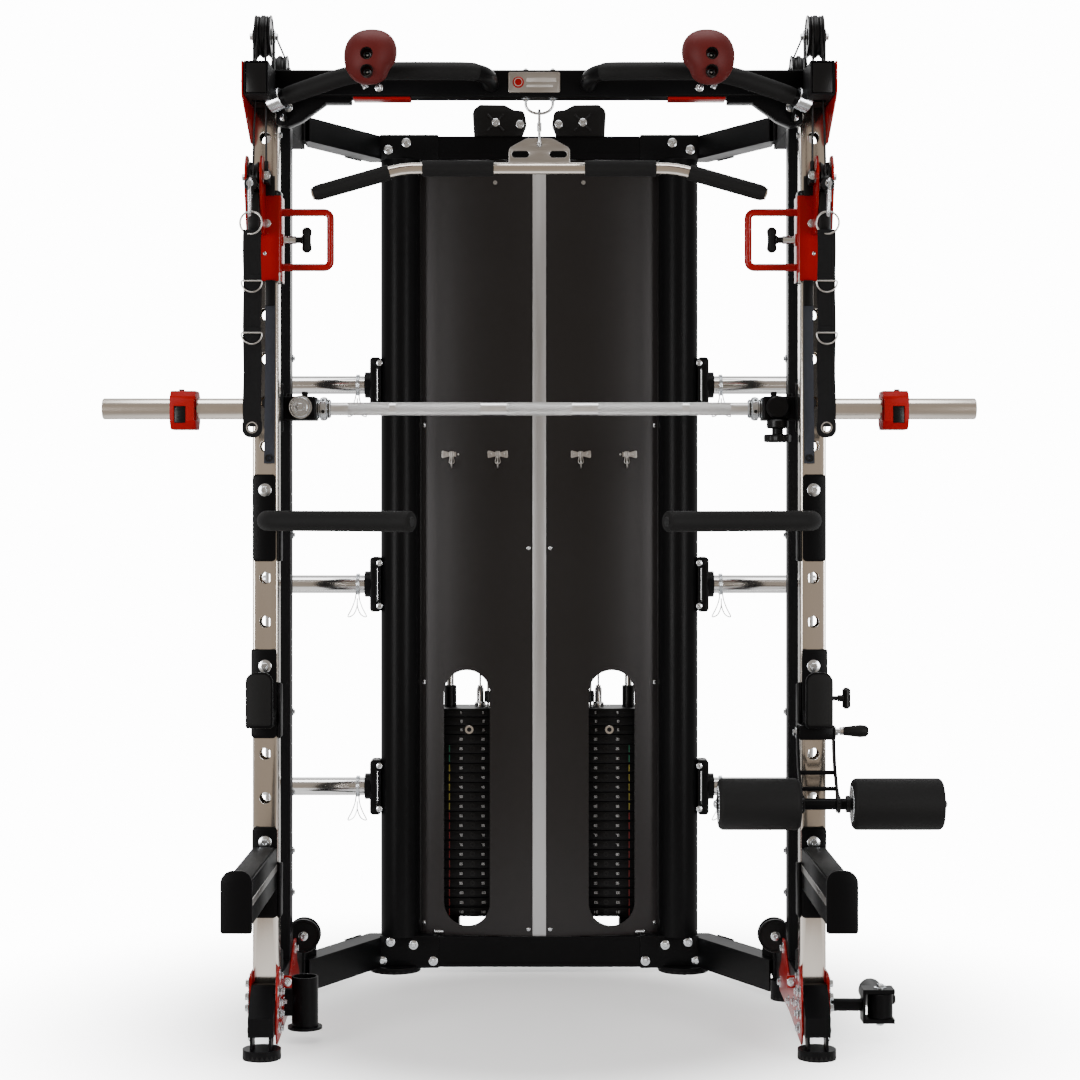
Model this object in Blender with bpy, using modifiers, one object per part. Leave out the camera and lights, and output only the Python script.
"""Smith machine with twin adjustable pulleys, modelled in metres with +Z up.

The frame is free-standing: the origin is on the floor under the middle of its box,
+X runs along the smith bar and +Y points from the user's side to the weight stacks.
Depths below are measured from the front face of the front uprights, and FACE_Y
shifts them into the part's frame.
"""

import math

import bmesh
import bpy
from mathutils import Matrix, Vector

# ---- driving dimensions, metres ----
FRONT_REACH = 0.500      # spotter arm tips, ahead of the uprights' front face
REAR_REACH = 1.130       # stack shelf, behind that face
FACE_Y = -(REAR_REACH - FRONT_REACH) / 2
GAP = 0.0003             # between pieces that touch

POST_X = 0.609           # centre of the uprights, rods and rear posts
POST_SIZE = 0.056
POST_WALL = 0.003
POST_LOW = 0.152         # top of the side base beams
POST_HIGH = 2.097        # underside of the side top beams
HOLE_RADIUS = 0.0132
HOLE_PITCH = 0.0978
HOLE_LOWEST = 0.3672
HOLE_COUNT = 18
ROD_RADIUS = 0.015
ROD_DEPTH = 0.130
REAR_POST_DEPTH = 0.260

TOP_BEAM_X = 0.609
TOP_BEAM_WIDTH = 0.052
TOP_BEAM_HIGH = 2.170
TOP_BEAM_FRONT = -0.170
SIDE_BEAM_REAR = 0.620
CROSS_LOW = 2.117        # front cross beam
CROSS_SIZE = 0.059

BASE_LOW = 0.046         # side base beams
BASE_FOOT_RADIUS = 0.0425
REAR_BEAM_DEPTH = 0.900  # centre line of the rear beams and columns
REAR_BEAM_SIZE = 0.060
REAR_TOP_LOW = 2.109
REAR_BASE_LOW = 0.0136
REAR_BASE_HIGH = 0.0914
BRACE_START = 0.580
COLUMN_X = 0.3618
COLUMN_RADIUS = 0.0509

SHROUD_INNER_X = 0.0010
SHROUD_OUTER_X = 0.3100
SHROUD_DEPTH = 0.880
SHROUD_BULGE_RADIUS = 1.390
SHROUD_SHEET = 0.002
WINDOW_X = 0.1885
WINDOW_HALF = 0.0598
WINDOW_LOW = 0.117
WINDOW_HIGH = 0.782

STACK_X = 0.183
STACK_WIDTH = 0.170
STACK_FRONT = 0.960
STACK_REAR = 1.090
STACK_LOW = 0.128
STACK_SPLIT = 0.6085     # underside of the lifted plates
STACK_HIGH = 0.677
SELECTOR_RADIUS = 0.0105
PIN_HEIGHT = 0.6255

HORN_HEIGHTS = (0.4794, 1.006, 1.5248)
HORN_RADIUS = 0.0237
HORN_END_X = 0.720

BAR_DEPTH = 0.190
BAR_HEIGHT = 1.435
BAR_HALF = 1.005
SLEEVE_START = 0.640
SLEEVE_RADIUS = 0.0245
GRIP_RADIUS = 0.0150
HUB_START = 0.480
HUB_END = 0.5108
COLLAR_X = 0.816

TROLLEY_LOW = 1.711
TROLLEY_HIGH = 1.901
TROLLEY_PULLEY = (0.626, -0.052, 1.935)
TOP_PULLEY = (0.607, -0.040, 2.2466)
LEG_PIVOT = (-0.043, 0.713)
LEG_AXLE = (-0.130, 0.5663)
LANDMINE_X = 0.7716
LANDMINE_DEPTH = 0.100
LANDMINE_HEIGHT = 0.0823
LAT_PIVOT_HEIGHT = 2.0840
LAT_BAR_HEIGHT = 1.9617

SIDES = (("left", -1), ("right", 1))


# ---- scene helpers ----
def clear_scene():
    for obj in list(bpy.data.objects):
        bpy.data.objects.remove(obj, do_unlink=True)


def new_collection(name):
    collection = bpy.data.collections.new(name)
    bpy.context.scene.collection.children.link(collection)
    return collection


def new_material(name, colour, roughness, metallic):
    material = bpy.data.materials.new(name)
    material.use_nodes = True
    shader = material.node_tree.nodes["Principled BSDF"]
    shader.inputs["Base Color"].default_value = (*colour, 1.0)
    shader.inputs["Roughness"].default_value = roughness
    shader.inputs["Metallic"].default_value = metallic
    return material


clear_scene()
PARTS = new_collection("smith_machine")
CUTTERS = new_collection("cutters")
BLACK = new_material("black_paint", (0.012, 0.012, 0.014), 0.45, 0.0)
RED = new_material("red_paint", (0.55, 0.008, 0.008), 0.30, 0.0)
CHROME = new_material("chrome", (0.75, 0.72, 0.68), 0.08, 1.0)
STEEL = new_material("brushed_steel", (0.60, 0.60, 0.60), 0.35, 1.0)
CHARCOAL = new_material("charcoal_paint", (0.035, 0.033, 0.033), 0.35, 0.6)
GRIP_RED = new_material("red_rubber", (0.22, 0.010, 0.010), 0.65, 0.0)
FOAM = new_material("black_foam", (0.008, 0.008, 0.008), 0.75, 0.0)
PLASTIC = new_material("black_plastic", (0.010, 0.010, 0.010), 0.40, 0.0)
WEBBING = new_material("webbing", (0.010, 0.010, 0.011), 0.85, 0.0)


# ---- shapes ----
def at(x, depth, z):
    """A point given by its depth behind the uprights' front face."""
    return Vector((x, depth + FACE_Y, z))


def mesh_object(bm, location):
    mesh = bpy.data.meshes.new("shape")
    bm.to_mesh(mesh)
    bm.free()
    obj = bpy.data.objects.new("shape", mesh)
    obj.location = location
    CUTTERS.objects.link(obj)
    return obj


def block(low, high):
    first, second = at(*low), at(*high)
    low = Vector(map(min, first, second))
    high = Vector(map(max, first, second))
    bm = bmesh.new()
    bmesh.ops.create_cube(bm, size=1.0)
    bmesh.ops.scale(bm, vec=high - low, verts=bm.verts)
    return mesh_object(bm, (low + high) / 2)


AXIS_TURN = {
    "X": Matrix.Rotation(math.pi / 2, 4, "Y"),
    "Y": Matrix.Rotation(-math.pi / 2, 4, "X"),
    "Z": Matrix.Identity(4),
}


def cylinder(centre, radius, length, axis, segments=20):
    bm = bmesh.new()
    bmesh.ops.create_cone(
        bm, cap_ends=True, segments=segments, radius1=radius, radius2=radius,
        depth=length, matrix=AXIS_TURN[axis],
    )
    return mesh_object(bm, at(*centre))


def turned(profile, centre, axis, segments=24, closed=False):
    """A turned piece: profile holds (radius, height) from top to bottom of its outer side."""
    mesh = bpy.data.meshes.new("profile")
    count = len(profile)
    edges = [(i, i + 1) for i in range(count - 1)]
    if closed:
        edges.append((count - 1, 0))
    mesh.from_pydata([(r, 0.0, h) for r, h in profile], edges, [])
    obj = bpy.data.objects.new("turned", mesh)
    CUTTERS.objects.link(obj)
    screw = obj.modifiers.new("turn", "SCREW")
    screw.steps = segments
    screw.render_steps = segments
    screw.use_merge_vertices = True
    screw.merge_threshold = 0.00001
    obj.location = at(*centre)
    obj.rotation_euler = AXIS_TURN[axis].to_euler()
    return obj


def ring(centre, outer, inner, length, axis, segments=24):
    half = length / 2
    profile = [(outer, half), (outer, -half), (inner, -half), (inner, half)]
    return turned(profile, centre, axis, segments, closed=True)


def curve_to_mesh(obj):
    bpy.context.view_layer.update()
    evaluated = obj.evaluated_get(bpy.context.evaluated_depsgraph_get())
    mesh = bpy.data.meshes.new_from_object(evaluated)
    bm = bmesh.new()
    bm.from_mesh(mesh)
    bmesh.ops.remove_doubles(bm, verts=bm.verts, dist=0.00002)
    bm.to_mesh(mesh)
    bm.free()
    result = bpy.data.objects.new("from_curve", mesh)
    CUTTERS.objects.link(result)
    result.matrix_world = obj.matrix_world
    bpy.data.objects.remove(obj, do_unlink=True)
    return result


def tube(points, radius, resolution=4, cyclic=False, radii=None):
    curve = bpy.data.curves.new("path", "CURVE")
    curve.dimensions = "3D"
    curve.bevel_depth = radius
    curve.bevel_resolution = resolution
    curve.use_fill_caps = not cyclic
    spline = curve.splines.new("POLY")
    spline.points.add(len(points) - 1)
    for index, point in enumerate(points):
        spline.points[index].co = (*at(*point), 1.0)
        if radii:
            spline.points[index].radius = radii[index] / radius
    spline.use_cyclic_u = cyclic
    obj = bpy.data.objects.new("path", curve)
    CUTTERS.objects.link(obj)
    return curve_to_mesh(obj)


PLANE_TURN = {
    "XZ": (math.pi / 2, 0.0, 0.0),
    "YZ": (math.pi / 2, 0.0, math.pi / 2),
    "XY": (0.0, 0.0, 0.0),
}


def sheet(outline, thickness, plane, offset):
    """A flat plate: its outline in a plane, and offset along that plane's normal."""
    curve = bpy.data.curves.new("outline", "CURVE")
    curve.dimensions = "2D"
    curve.fill_mode = "BOTH"
    curve.extrude = thickness / 2
    spline = curve.splines.new("POLY")
    spline.points.add(len(outline) - 1)
    for index, (u, v) in enumerate(outline):
        spline.points[index].co = (u, v, 0.0, 1.0)
    spline.use_cyclic_u = True
    obj = bpy.data.objects.new("outline", curve)
    CUTTERS.objects.link(obj)
    obj.rotation_euler = PLANE_TURN[plane]
    place = {"XZ": (0.0, offset, 0.0), "YZ": (offset, 0.0, 0.0), "XY": (0.0, 0.0, offset)}
    obj.location = at(*place[plane])
    return curve_to_mesh(obj)


def rounded(corners, steps=3):
    """An outline whose corners (u, v, radius) are rounded with short arcs."""
    outline = []
    count = len(corners)
    for index, (u, v, radius) in enumerate(corners):
        corner = Vector((u, v))
        if not radius:
            outline.append((u, v))
            continue
        before = Vector(corners[index - 1][:2]) - corner
        after = Vector(corners[(index + 1) % count][:2]) - corner
        before.normalize()
        after.normalize()
        half = before.angle(after) / 2
        reach = radius / math.tan(half)
        centre = corner + (before + after).normalized() * (radius / math.sin(half))
        start = corner + before * reach - centre
        end = corner + after * reach - centre
        turn = start.angle_signed(end)
        for step in range(steps + 1):
            point = start.copy()
            point.rotate(Matrix.Rotation(-turn * step / steps, 2))
            outline.append(tuple(centre + point))
    return outline


def stadium(centre_u, half, low, high, steps=8):
    outline = []
    for centre_v, start in ((high - half, 0.0), (low + half, math.pi)):
        for step in range(steps + 1):
            angle = start + math.pi * step / steps
            point = (centre_u + half * math.cos(angle), centre_v + half * math.sin(angle))
            outline.append(point)
    return outline


def swept_beam(path, width, low, high, wall=POST_WALL):
    """A rectangular tube along a level path of (x, depth) points, mitred and open at both ends."""
    points = [Vector((x, depth)) for x, depth in path]
    legs = [(b - a).normalized() for a, b in zip(points, points[1:])]
    bm = bmesh.new()
    rings = []
    for index, point in enumerate(points):
        first = legs[max(index - 1, 0)]
        second = legs[min(index, len(legs) - 1)]
        across = Vector((-first.y, first.x)) + Vector((-second.y, second.x))
        across.normalize()
        across /= across.dot(Vector((-first.y, first.x)))
        corners = []
        for side, z in ((-1, low), (1, low), (1, high), (-1, high)):
            spot = point + across * side * width / 2
            corners.append(bm.verts.new((spot.x, spot.y, z)))
        rings.append(corners)
    for first, second in zip(rings, rings[1:]):
        for index in range(4):
            following = (index + 1) % 4
            bm.faces.new((first[index], second[index], second[following], first[following]))
    bmesh.ops.recalc_face_normals(bm, faces=bm.faces)
    obj = mesh_object(bm, at(0.0, 0.0, 0.0))
    if face_sum(obj.data) < 0:
        obj.data.flip_normals()
    shell = obj.modifiers.new("wall", "SOLIDIFY")
    shell.thickness = wall
    shell.offset = -1.0
    shell.use_even_offset = True
    return obj


def face_sum(mesh):
    """Positive where the faces of an open tube point away from its middle."""
    middle = sum((face.center for face in mesh.polygons), Vector()) / len(mesh.polygons)
    return sum((face.center - middle).dot(face.normal) * face.area for face in mesh.polygons)


def hollow_post(x, depth, size, low, high, wall=POST_WALL):
    """An upright square tube, open at both ends."""
    half = size / 2
    bm = bmesh.new()
    bmesh.ops.create_cube(bm, size=1.0)
    bmesh.ops.scale(bm, vec=(size, size, high - low), verts=bm.verts)
    ends = [face for face in bm.faces if abs(face.normal.z) > 0.5]
    bmesh.ops.delete(bm, geom=ends, context="FACES_ONLY")
    obj = mesh_object(bm, at(x, depth + half, (low + high) / 2))
    shell = obj.modifiers.new("wall", "SOLIDIFY")
    shell.thickness = wall
    shell.offset = -1.0
    shell.use_even_offset = True
    return obj


# ---- assembling nodes ----
def combine(obj, tool, operation):
    modifier = obj.modifiers.new(operation.lower(), "BOOLEAN")
    modifier.operation = operation
    modifier.object = tool
    modifier.solver = "EXACT"
    tool.hide_render = True
    tool.display_type = "WIRE"


def part(name, base, material, joined=(), cut=()):
    """Names base as a node, fuses the joined shapes into it, then takes the cut ones away."""
    CUTTERS.objects.unlink(base)
    PARTS.objects.link(base)
    base.name = name
    base.data.name = name
    base.data.materials.clear()
    base.data.materials.append(material)
    for tool in joined:
        combine(base, tool, "UNION")
    for tool in cut:
        combine(base, tool, "DIFFERENCE")
    if len(base.data.polygons):
        base.data.shade_smooth()
        base.data.set_sharp_from_angle(angle=math.radians(35))
    return base


def pivot(name, point, *pieces):
    """An empty on a joint's axis that carries the moving pieces."""
    empty = bpy.data.objects.new(name, None)
    empty.location = at(*point)
    PARTS.objects.link(empty)
    bpy.context.view_layer.update()
    for piece in pieces:
        world = piece.matrix_world.copy()
        piece.parent = empty
        piece.matrix_parent_inverse = empty.matrix_world.inverted()
        piece.matrix_world = world
    return empty


# ---- frame ----
def hole_heights():
    return [HOLE_LOWEST + index * HOLE_PITCH for index in range(HOLE_COUNT)]


def upright(label, side):
    post = hollow_post(side * POST_X, 0.0, POST_SIZE, POST_LOW + GAP, POST_HIGH - GAP)
    holes = []
    for height in hole_heights():
        centre = (side * POST_X, POST_SIZE / 2, height)
        holes.append(cylinder(centre, HOLE_RADIUS, POST_SIZE * 2, "Y", 8))
    return part(f"{label}_upright", post, CHROME, cut=[joined_copy(holes)])


def joined_copy(objects):
    """Separate cutters gathered into one cutter object, which cuts in a single pass."""
    bm = bmesh.new()
    for obj in objects:
        start = len(bm.verts)
        bm.from_mesh(obj.data)
        bm.verts.ensure_lookup_table()
        bmesh.ops.translate(bm, vec=obj.location, verts=bm.verts[start:])
        bpy.data.objects.remove(obj, do_unlink=True)
    return mesh_object(bm, (0.0, 0.0, 0.0))


def rear_post(label, side):
    post = hollow_post(side * POST_X, REAR_POST_DEPTH, POST_SIZE, POST_LOW + GAP, POST_HIGH - GAP)
    return part(f"{label}_rear_post", post, BLACK)


def guide_rod(label, side):
    centre = (side * POST_X, ROD_DEPTH, (POST_LOW + POST_HIGH) / 2)
    length = POST_HIGH - POST_LOW - 2 * GAP
    return part(f"{label}_guide_rod", cylinder(centre, ROD_RADIUS, length, "Z", 24), CHROME)


def top_beam(label, side):
    path = [(side * TOP_BEAM_X, TOP_BEAM_FRONT), (side * TOP_BEAM_X, SIDE_BEAM_REAR)]
    beam = swept_beam(path, TOP_BEAM_WIDTH, POST_HIGH, TOP_BEAM_HIGH)
    pulley_x, pulley_depth, pulley_z = TOP_PULLEY
    ears = []
    for offset in (-0.0235, 0.0205):
        low = (side * pulley_x + offset, pulley_depth - 0.014, TOP_BEAM_HIGH - 0.002)
        high = (side * pulley_x + offset + 0.003, pulley_depth + 0.014, pulley_z + 0.014)
        ears.append(block(low, high))
    slot_low = (side * (pulley_x - 0.016), -0.097, POST_HIGH - 0.01)
    slot_high = (side * (pulley_x + 0.020), -0.069, TOP_BEAM_HIGH + 0.01)
    return part(f"{label}_top_beam", beam, BLACK, joined=ears, cut=[block(slot_low, slot_high)])


def handle_path(side):
    """Centre line of a pull-up handle, from the cross beam out to the corner."""
    return [
        (side * 0.108, -0.012, 2.1420), (side * 0.109, -0.070, 2.1450),
        (side * 0.115, -0.105, 2.1480), (side * 0.131, -0.132, 2.1500),
        (side * 0.158, -0.147, 2.1510), (side * 0.300, -0.150, 2.1510),
        (side * 0.360, -0.147, 2.1500), (side * 0.420, -0.135, 2.1420),
        (side * 0.470, -0.117, 2.1300), (side * 0.566, -0.078, 2.1040),
    ]


def pull_up_beam():
    inner = TOP_BEAM_X - TOP_BEAM_WIDTH / 2 - GAP
    post_face = POST_X - POST_SIZE / 2 - GAP
    beam = swept_beam([(-inner, 0.0), (inner, 0.0)], CROSS_SIZE, CROSS_LOW, CROSS_LOW + CROSS_SIZE)
    joined = []
    for _, side in SIDES:
        joined.append(tube(handle_path(side), 0.0195))
        corners = [
            (side * post_face, CROSS_LOW + 0.002, 0), (side * post_face, 2.058, 0),
            (side * 0.556, 2.054, 0.006), (side * 0.529, 2.066, 0),
            (side * 0.474, 2.106, 0), (side * 0.418, 2.106, 0), (side * 0.418, CROSS_LOW + 0.002, 0),
        ]
        joined.append(sheet(rounded(corners), 0.044, "XZ", 0.0))
    hoop = [(-0.030, 0.0, 2.122)]
    for step in range(9):
        angle = math.pi * step / 8
        hoop.append((-0.030 * math.cos(angle), 0.0, 2.104 - 0.0205 * math.sin(angle)))
    hoop.append((0.030, 0.0, 2.122))
    joined.append(tube(hoop, 0.0032, resolution=2))
    return part("pull_up_beam", beam, BLACK, joined=joined)


def rear_path():
    return [
        (-0.5930, BRACE_START), (-0.4265, REAR_BEAM_DEPTH),
        (0.4265, REAR_BEAM_DEPTH), (0.5930, BRACE_START),
    ]


def rear_top_frame():
    inner = TOP_BEAM_X - TOP_BEAM_WIDTH / 2 - GAP
    beam = swept_beam(rear_path(), REAR_BEAM_SIZE, REAR_TOP_LOW, REAR_TOP_LOW + REAR_BEAM_SIZE)
    ends = [
        block((side * inner, 0.40, 2.0), (side * 0.75, 0.75, 2.3)) for _, side in SIDES
    ]
    return part("rear_top_frame", beam, BLACK, cut=ends)


def rear_base_frame():
    inner = POST_X - POST_SIZE / 2 - GAP
    beam = swept_beam(rear_path(), REAR_BEAM_SIZE, REAR_BASE_LOW, REAR_BASE_HIGH)
    back = REAR_BEAM_DEPTH + REAR_BEAM_SIZE / 2
    shelf = block((-0.290, back - 0.002, 0.050), (0.290, REAR_REACH, 0.074))
    joined = [shelf]
    for _, side in SIDES:
        for low_x, high_x in ((0.100, 0.124), (0.212, 0.262)):
            joined.append(block((side * low_x, 0.975, 0.070), (side * high_x, 1.075, STACK_LOW - GAP)))
        foot = (side * 0.375, REAR_BEAM_DEPTH, REAR_BASE_LOW / 2 + 0.001)
        joined.append(cylinder(foot, 0.066, REAR_BASE_LOW + 0.002, "Z", 24))
    ends = [
        block((side * inner, 0.40, -0.1), (side * 0.75, 0.75, 0.3)) for _, side in SIDES
    ]
    return part("rear_base_frame", beam, BLACK, joined=joined, cut=ends)


def base_beam(label, side):
    path = [(side * POST_X, -0.002), (side * POST_X, SIDE_BEAM_REAR)]
    beam = swept_beam(path, POST_SIZE, BASE_LOW, POST_LOW)
    nose_outline = [
        (0.0, POST_LOW), (0.0, BASE_LOW), (-0.088, BASE_LOW + 0.004),
        (-0.090, 0.092), (-0.022, POST_LOW),
    ]
    nose = sheet(nose_outline, POST_SIZE, "YZ", side * POST_X)
    joined = [nose]
    for offset in (-0.0205, 0.0205):
        centre = side * POST_X + offset
        low = (centre - 0.003, -0.088, 0.014)
        joined.append(block(low, (centre + 0.003, -0.042, BASE_LOW + 0.02)))
    front_foot = (side * POST_X, -0.065, 0.011)
    joined.append(cylinder(front_foot, BASE_FOOT_RADIUS, 0.022, "Z", 24))
    rear_foot = (side * 0.603, 0.545, (BASE_LOW + 0.002) / 2)
    joined.append(cylinder(rear_foot, 0.0355, BASE_LOW + 0.002, "Z", 20))
    cut = []
    if side < 0:
        joined.append(block((-0.583, 0.085, 0.060), (-0.556, 0.115, 0.120)))
        joined.append(cylinder((-0.5307, 0.100, 0.088), 0.030, 0.118, "Z", 24))
        joined.append(cylinder((-0.5307, 0.100, 0.032), 0.0395, 0.006, "Z", 24))
        cut.append(cylinder((-0.5307, 0.100, 0.110), 0.0267, 0.140, "Z", 24))
    return part(f"{label}_base_beam", beam, BLACK, joined=joined, cut=cut)


def column(label, side):
    low, high = REAR_BASE_HIGH + GAP, REAR_TOP_LOW - GAP
    centre = (side * COLUMN_X, REAR_BEAM_DEPTH, (low + high) / 2)
    shape = ring(centre, COLUMN_RADIUS, COLUMN_RADIUS - 0.0025, high - low, "Z", 28)
    return part(f"{label}_column", shape, BLACK)


def shroud_depth(x):
    return SHROUD_DEPTH + SHROUD_BULGE_RADIUS - math.sqrt(SHROUD_BULGE_RADIUS**2 - x * x)


def shroud(label, side):
    steps = 12
    bm = bmesh.new()
    low, high = REAR_BASE_HIGH + GAP, REAR_TOP_LOW - GAP
    rows = []
    for index in range(steps + 1):
        x = SHROUD_INNER_X + (SHROUD_OUTER_X - SHROUD_INNER_X) * index / steps
        depth = shroud_depth(x)
        rows.append([bm.verts.new((side * x, depth, z)) for z in (low, high)])
    for first, second in zip(rows, rows[1:]):
        bm.faces.new((first[0], second[0], second[1], first[1]))
    bmesh.ops.recalc_face_normals(bm, faces=bm.faces)
    obj = mesh_object(bm, at(0.0, 0.0, 0.0))
    shell = obj.modifiers.new("sheet", "SOLIDIFY")
    shell.thickness = SHROUD_SHEET
    shell.offset = 0.0
    outline = stadium(side * WINDOW_X, WINDOW_HALF, WINDOW_LOW, WINDOW_HIGH)
    window = sheet(outline, 0.20, "XZ", SHROUD_DEPTH)
    return part(f"{label}_shroud", obj, CHARCOAL, cut=[window])


def plate_horn(label, side, number, height):
    inner = COLUMN_X + COLUMN_RADIUS + GAP
    depth = REAR_BEAM_DEPTH
    bracket = block((side * inner, depth - 0.030, height - 0.070), (side * 0.4385, depth + 0.030, height + 0.070))
    disc = cylinder((side * 0.4442, depth, height), 0.034, 0.0156, "X", 20)
    length = HORN_END_X - 0.440
    horn = cylinder((side * (0.440 + length / 2), depth, height), HORN_RADIUS, length, "X", 24)
    slot = block((side * 0.4185, depth - 0.05, height - 0.045), (side * 0.4250, depth + 0.05, height + 0.045))
    return part(f"{label}_plate_horn_{number}", bracket, CHROME, joined=[disc, horn], cut=[slot])


# ---- attachments fixed to the frame ----
def ball_grip(label, side):
    centre = (side * 0.359, -0.2285, 2.166)
    bm = bmesh.new()
    bmesh.ops.create_uvsphere(bm, u_segments=14, v_segments=9, radius=1.0)
    for vert in bm.verts:
        taper = 1.0 + 0.10 * vert.co.z - 0.10 * vert.co.z * vert.co.z
        lean = 0.10 * vert.co.z * side * -1
        vert.co.x = (vert.co.x * taper + lean) * 0.053
        vert.co.y = vert.co.y * taper * 0.050
        vert.co.z = vert.co.z * 0.0595
    ball = mesh_object(bm, at(*centre))
    holes = []
    for height in (2.170, 2.134):
        holes.append(cylinder((side * 0.366, -0.275, height), 0.0115, 0.050, "Y", 12))
    return part(f"{label}_ball_grip", ball, GRIP_RED, cut=holes)


def pin_plug(side, height):
    """The peg that drops into an upright's hole."""
    return cylinder((side * POST_X, 0.008, height), 0.012, 0.026, "Y", 12)


def side_wing(side, low, high):
    """The tongue that wraps round an upright's inner side, with the strip that joins it in front."""
    inner = POST_X - POST_SIZE / 2
    wing = block((side * (inner - 0.0055), -0.0065, low), (side * (inner - 0.0005), 0.050, high))
    strip = block((side * (inner - 0.0055), -0.0065, low), (side * (inner + 0.010), -0.0005, high))
    return [wing, strip]


def dip_handle(label, side):
    plate = block((side * 0.6357, -0.0065, 1.0897), (side * 0.586, -0.0005, 1.281))
    path = [
        (side * 0.597, -0.004, 1.180), (side * 0.597, -0.070, 1.180),
        (side * 0.593, -0.096, 1.180), (side * 0.582, -0.117, 1.180),
        (side * 0.563, -0.133, 1.180), (side * 0.267, -0.306, 1.180),
    ]
    joined = [tube(path, 0.0222), pin_plug(side, 1.2474), *side_wing(side, 1.0897, 1.200)]
    return part(f"{label}_dip_handle", plate, BLACK, joined=joined)


def j_cup(label, side):
    profile = [
        (-0.0005, 0.697), (-0.0005, 0.892), (-0.0065, 0.892), (-0.0065, 0.760),
        (-0.016, 0.747), (-0.084, 0.747), (-0.084, 0.847), (-0.096, 0.847),
        (-0.096, 0.728), (-0.0065, 0.728), (-0.0065, 0.697),
    ]
    cup = sheet(profile, 0.056, "YZ", side * 0.6115)
    joined = [pin_plug(side, 0.8562), *side_wing(side, 0.697, 0.820)]
    if side > 0:
        joined.append(block((0.5728, -0.064, 0.698), (0.6447, -0.004, 0.7295)))
    return part(f"{label}_j_cup", cup, BLACK, joined=joined)


def spotter_arm(label, side):
    plate = block((side * 0.6370, -0.0065, 0.298), (side * 0.5825, -0.0005, 0.498))
    beam = block((side * 0.6365, -0.495, 0.362), (side * 0.5830, -0.003, 0.452))
    channel = block((side * 0.6315, -0.490, 0.300), (side * 0.5880, -0.0100, 0.446))
    corners = [
        (side * 0.6393, 0.355, 0.004), (side * 0.579, 0.355, 0.004),
        (side * 0.579, 0.478, 0.024), (side * 0.6393, 0.478, 0.024),
    ]
    end = sheet(rounded(corners, 4), 0.009, "XZ", -FRONT_REACH + 0.0045)
    web = block((side * 0.6360, -0.130, 0.299), (side * 0.6320, -0.002, 0.370))
    joined = [plate, end, web, pin_plug(side, 0.465), *side_wing(side, 0.298, 0.420)]
    hollow = part(f"{label}_spotter_arm", beam, BLACK, joined=(), cut=[channel])
    for tool in joined:
        combine(hollow, tool, "UNION")
    return hollow


def landmine():
    depth, height = LANDMINE_DEPTH, LANDMINE_HEIGHT
    face = POST_X + POST_SIZE / 2 + GAP
    plate = block((face, depth - 0.040, 0.050), (face + 0.006, depth + 0.040, 0.140))
    arm = cylinder((0.6870, depth, height), 0.0145, 0.096, "X", 16)
    ears = []
    for low in (0.0440, 0.1106):
        ears.append(block((0.732, depth - 0.026, low), (0.802, depth + 0.026, low + 0.010)))
    back = block((0.730, depth - 0.026, 0.0440), (0.736, depth + 0.026, 0.1206))
    bracket = part("landmine_bracket", plate, BLACK, joined=[arm, back, *ears])
    boss = cylinder((LANDMINE_X, depth, height), 0.0170, 0.0554, "Z", 20)
    receiver = cylinder((LANDMINE_X, depth + 0.086, height), 0.0275, 0.150, "Y", 20)
    bore = cylinder((LANDMINE_X, depth + 0.111, height), 0.0255, 0.150, "Y", 20)
    sleeve = part("landmine_sleeve", boss, BLACK, joined=[receiver], cut=[bore])
    pivot("landmine_swivel", (LANDMINE_X, depth, height), sleeve)
    return bracket


def leg_arm():
    """Two curved side bars with cross rungs and the axle that carries the foam rollers."""
    pivot_depth, pivot_height = LEG_PIVOT
    axle_depth, axle_height = LEG_AXLE
    axle = cylinder((0.6305, axle_depth, axle_height), 0.0125, 0.495, "X", 20)
    joined = []
    for x, thickness in ((0.5690, 0.005), (0.6482, 0.005)):
        front = [
            (pivot_depth - 0.014, pivot_height + 0.010), (pivot_depth - 0.020, 0.680),
            (-0.078, 0.640), (-0.110, 0.600), (axle_depth - 0.020, axle_height + 0.006),
        ]
        back = [
            (axle_depth - 0.008, axle_height - 0.020), (axle_depth + 0.018, axle_height - 0.010),
            (-0.085, 0.598), (-0.052, 0.634), (pivot_depth + 0.010, 0.676),
            (pivot_depth + 0.014, pivot_height + 0.006), (pivot_depth, pivot_height + 0.016),
        ]
        joined.append(sheet(front + back, thickness, "YZ", x))
    for depth, height in ((-0.0745, 0.628), (-0.1035, 0.596)):
        joined.append(cylinder((0.6086, depth, height), 0.005, 0.081, "X", 10))
    arm = part("leg_arm", axle, BLACK, joined=joined)
    pivot("leg_pivot", (0.6086, pivot_depth, pivot_height), arm)


def leg_roller(name, low, high):
    half = (high - low) / 2
    profile = [
        (0.046, half), (0.056, half - 0.010), (0.056, 0.010 - half), (0.046, -half),
        (0.0136, -half), (0.0136, half),
    ]
    centre = ((low + high) / 2, *LEG_AXLE)
    roller = part(name, turned(profile, centre, "X", 24, closed=True), FOAM)
    pivot(f"{name}_spin", centre, roller)


# ---- smith bar ----
def smith_bar():
    half = [
        (0.0, BAR_HALF), (SLEEVE_RADIUS - 0.002, BAR_HALF), (SLEEVE_RADIUS, BAR_HALF - 0.003),
        (SLEEVE_RADIUS, SLEEVE_START), (GRIP_RADIUS, SLEEVE_START),
        (GRIP_RADIUS, HUB_END), (0.026, HUB_END), (0.026, HUB_START), (GRIP_RADIUS, HUB_START),
    ]
    profile = half + [(radius, -x) for radius, x in reversed(half)]
    centre = (0.0, BAR_DEPTH, BAR_HEIGHT)
    bar = part("smith_bar", turned(profile, centre, "X", 24), STEEL)
    pivot("bar_turn", centre, bar)


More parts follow.
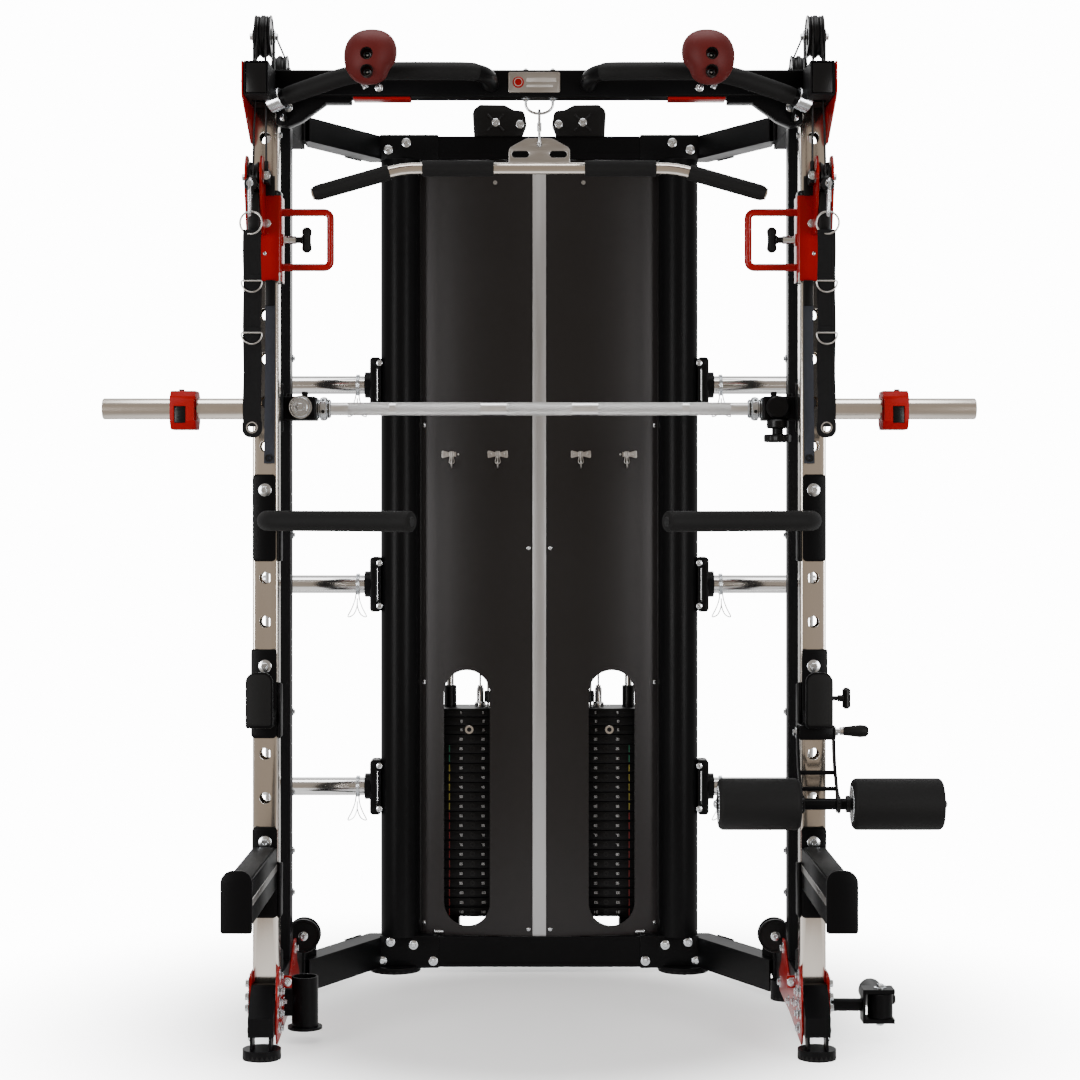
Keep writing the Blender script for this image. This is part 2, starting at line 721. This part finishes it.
def smith_carriage(label, side):
    height = BAR_HEIGHT
    bearing = cylinder((side * POST_X, ROD_DEPTH, height), 0.026, 0.110, "Z", 20)
    body = block((side * 0.604, 0.146, height - 0.027), (side * (HUB_END + GAP * 2), 0.232, height + 0.027))
    disc = cylinder((side * 0.5447, 0.142, height + 0.002), 0.0265, 0.014, "Y", 20)
    rod_bore = cylinder((side * POST_X, ROD_DEPTH, height), ROD_RADIUS + 0.0005, 0.2, "Z", 24)
    bar_bore = cylinder((side * 0.56, BAR_DEPTH, height), GRIP_RADIUS + 0.0006, 0.14, "X", 24)
    carriage = part(
        f"{label}_smith_carriage", bearing, BLACK, joined=[body, disc], cut=[rod_bore, bar_bore]
    )
    pivot(f"{label}_carriage_guide", (side * POST_X, ROD_DEPTH, height), carriage)


def bar_collar(label, side):
    centre = (side * COLLAR_X, BAR_DEPTH, BAR_HEIGHT - 0.004)
    x, depth, height = centre
    low = (x - 0.030, depth - 0.040, height - 0.0425)
    shape = block(low, (x + 0.030, depth + 0.040, height + 0.0425))
    bore = cylinder((x, depth, BAR_HEIGHT), SLEEVE_RADIUS + 0.0006, 0.1, "X", 24)
    edge = shape.modifiers.new("edge", "BEVEL")
    edge.width = 0.012
    edge.segments = 1
    collar = part(f"{label}_collar", shape, RED, cut=[bore])
    pivot(f"{label}_collar_slide", (x, depth, BAR_HEIGHT), collar)


# ---- cable trolleys ----
def trolley(label, side):
    sleeve = hollow_post(side * POST_X, -0.0070, 0.0700, TROLLEY_LOW, TROLLEY_HIGH, 0.0055)
    joined = []
    for low_x in (0.6400, 0.6070):
        outline = [
            (-0.004, 1.813), (-0.004, 1.925), (-0.035, 1.981), (-0.066, 1.981),
            (-0.086, 1.955), (-0.086, 1.905), (-0.052, 1.813),
        ]
        joined.append(sheet(outline, 0.005, "YZ", side * (low_x + 0.0025)))
    inner = POST_X - 0.035
    handle = [(side * (inner + 0.003), 0.020, 1.8663)]
    for corner_x, corner_z, start in ((0.4795, 1.8526, math.pi / 2), (0.4795, 1.7574, math.pi)):
        for step in range(5):
            angle = start + math.pi / 2 * step / 4
            x = corner_x + 0.0137 * math.cos(angle)
            handle.append((side * x, 0.020, corner_z + 0.0137 * math.sin(angle)))
    handle.append((side * (inner + 0.003), 0.020, 1.7437))
    joined.append(tube(handle, 0.0078, resolution=3))
    boss = ((inner - 0.004) * side, 0.020, 1.805)
    joined.append(cylinder(boss, 0.0140, 0.012, "X", 16))
    bore = cylinder(boss, 0.0066, 0.040, "X", 14)
    shape = part(f"{label}_trolley", sleeve, RED, joined=joined, cut=[bore])
    x, depth, height = TROLLEY_PULLEY
    wheel = part(f"{label}_trolley_pulley", pulley((side * x, depth, height), 0.034, 0.022, 1), PLASTIC)
    pin = pop_pin(label, side)
    strap = block((side * 0.6454, -0.106, 1.362), (side * 0.6063, -0.094, 1.815))
    strap = part(f"{label}_strap", strap, WEBBING)
    pivot(f"{label}_trolley_slide", (side * POST_X, 0.028, TROLLEY_LOW), shape, strap)
    pivot(f"{label}_trolley_spin", (side * x, depth, height), wheel)
    pivot(f"{label}_pin_slide", (side * 0.56, 0.020, 1.805), pin)


def pulley(centre, radius, width, grooves):
    """A grooved wheel turned about X, with its bore left solid round the axle."""
    half = width / 2
    step = width / grooves
    profile = [(0.0, half)]
    for index in range(grooves):
        top = half - index * step
        profile += [(radius, top), (radius, top - 0.12 * step)]
        profile += [(radius - 0.006, top - 0.5 * step), (radius, top - 0.88 * step)]
    profile += [(radius, -half), (0.0, -half)]
    return turned(profile, centre, "X", 18)


def pop_pin(label, side):
    inner = POST_X - 0.035
    shaft = cylinder((side * (inner - 0.0135), 0.020, 1.805), 0.0055, 0.034, "X", 14)
    barrel = cylinder((side * 0.5520, 0.020, 1.805), 0.0085, 0.022, "X", 16)
    neck = cylinder((side * 0.5360, 0.020, 1.805), 0.0072, 0.014, "X", 14)
    handle = cylinder((side * 0.5185, 0.020, 1.805), 0.0125, 0.058, "Z", 16)
    return part(f"{label}_pop_pin", shaft, CHROME, joined=[barrel, neck, handle])


def top_pulley(label, side):
    x, depth, height = TOP_PULLEY
    centre = (side * x, depth, height)
    wheel = part(f"{label}_top_pulley", pulley(centre, 0.047, 0.037, 2), PLASTIC)
    pivot(f"{label}_top_spin", centre, wheel)


def cable(label, side):
    """The strand from the top pulley down to the trolley's pulley."""
    top = (side * 0.6170, -0.0850, TOP_PULLEY[2])
    low = (side * 0.6260, -0.0850, TROLLEY_PULLEY[2])
    shape = tube([top, low], 0.0024, resolution=2)
    part(f"{label}_cable", shape, PLASTIC)


# ---- weight stacks ----
def stack(label, side):
    half = STACK_WIDTH / 2
    low = (side * (STACK_X - half), STACK_FRONT, STACK_LOW)
    pile = block(low, (side * (STACK_X + half), STACK_REAR, STACK_SPLIT - GAP))
    middle = (STACK_FRONT + STACK_REAR) / 2
    bore = cylinder((side * STACK_X, middle, 0.4), SELECTOR_RADIUS + 0.0012, 0.8, "Z", 16)
    part(f"{label}_stack", pile, BLACK, cut=[bore])

    low = (side * (STACK_X - half), STACK_FRONT, STACK_SPLIT)
    head = block(low, (side * (STACK_X + half), STACK_REAR, STACK_HIGH))
    selector = cylinder((side * STACK_X, middle, 0.40), SELECTOR_RADIUS, 0.44, "Z", 16)
    stem = cylinder((side * 0.157, middle, 0.704), 0.0095, 0.058, "Z", 16)
    bush = block((side * 0.2515, middle - 0.017, 0.670), (side * 0.2185, middle + 0.017, 0.737))
    pin_bore = cylinder((side * STACK_X, STACK_FRONT, PIN_HEIGHT), 0.0052, 0.090, "Y", 12)
    lifted = part(f"{label}_stack_head", head, BLACK, joined=[selector, stem, bush], cut=[pin_bore])
    pivot(f"{label}_stack_lift", (side * STACK_X, middle, STACK_HIGH), lifted)

    shaft = cylinder((side * STACK_X, 0.960, PIN_HEIGHT), 0.0045, 0.082, "Y", 12)
    knob = cylinder((side * STACK_X, 0.917, PIN_HEIGHT), 0.0125, 0.016, "Y", 20)
    pin = part(f"{label}_selector_pin", shaft, CHROME, joined=[knob])
    pivot(f"{label}_selector_slide", (side * STACK_X, STACK_FRONT, PIN_HEIGHT), pin)


# ---- lat bar ----
def lat_bar():
    """A bent bar with thick grips, its hanger plate and the link it hangs by."""
    thin, thick = 0.0133, 0.0178
    half = [
        (0.000, LAT_BAR_HEIGHT, thin), (0.1005, LAT_BAR_HEIGHT, thin),
        (0.1010, LAT_BAR_HEIGHT, thick), (0.2600, LAT_BAR_HEIGHT, thick),
        (0.2605, LAT_BAR_HEIGHT, thin), (0.2850, 1.9612, thin), (0.3080, 1.9588, thin),
        (0.3300, 1.9540, thin), (0.3330, 1.9532, thick), (0.4940, 1.9075, thick),
        (0.5050, 1.9044, 0.0150), (0.5100, 1.9030, 0.0080),
    ]
    mirrored = [(-x, z, r) for x, z, r in reversed(half[1:])]
    path = mirrored + half
    points = [(x, 0.0, z) for x, z, _ in path]
    bar = tube(points, thin, resolution=3, radii=[r for _, _, r in path])
    low = LAT_BAR_HEIGHT + 0.008
    corners = [
        (-0.067, low, 0), (0.067, low, 0), (0.067, 2.006, 0.012),
        (0.028, 2.0280, 0.030), (-0.028, 2.0280, 0.030), (-0.067, 2.006, 0.012),
    ]
    hanger = sheet(rounded(corners), 0.006, "XZ", 0.0)
    slots = []
    for centre in (-0.0420, 0.0420):
        outline = [(z, x) for x, z in stadium(1.9930, 0.0085, centre - 0.0205, centre + 0.0205, 4)]
        slots.append(sheet(outline, 0.04, "XZ", 0.0))
    link = []
    for centre_z, start in ((2.0797, 0.0), (2.0230, math.pi)):
        for step in range(7):
            angle = start + math.pi * step / 6
            link.append((0.0, 0.0110 * math.cos(angle), centre_z + 0.0110 * math.sin(angle)))
    ring_shape = tube(link, 0.0032, resolution=2, cyclic=True)
    bar = part("lat_bar", bar, CHROME, joined=[hanger, ring_shape], cut=slots)
    pivot("lat_swing", (0.0, 0.0, LAT_PIVOT_HEIGHT), bar)


def build():
    for label, side in SIDES:
        upright(label, side)
        rear_post(label, side)
        guide_rod(label, side)
        top_beam(label, side)
        base_beam(label, side)
        column(label, side)
        shroud(label, side)
        for number, height in enumerate(HORN_HEIGHTS, 1):
            plate_horn(label, side, number, height)
        ball_grip(label, side)
        dip_handle(label, side)
        j_cup(label, side)
        spotter_arm(label, side)
        smith_carriage(label, side)
        bar_collar(label, side)
        trolley(label, side)
        top_pulley(label, side)
        cable(label, side)
        stack(label, side)
    pull_up_beam()
    rear_top_frame()
    rear_base_frame()
    landmine()
    leg_arm()
    leg_roller("leg_roller_inner", 0.387, 0.565)
    leg_roller("leg_roller_outer", 0.677, 0.874)
    smith_bar()
    lat_bar()


build()
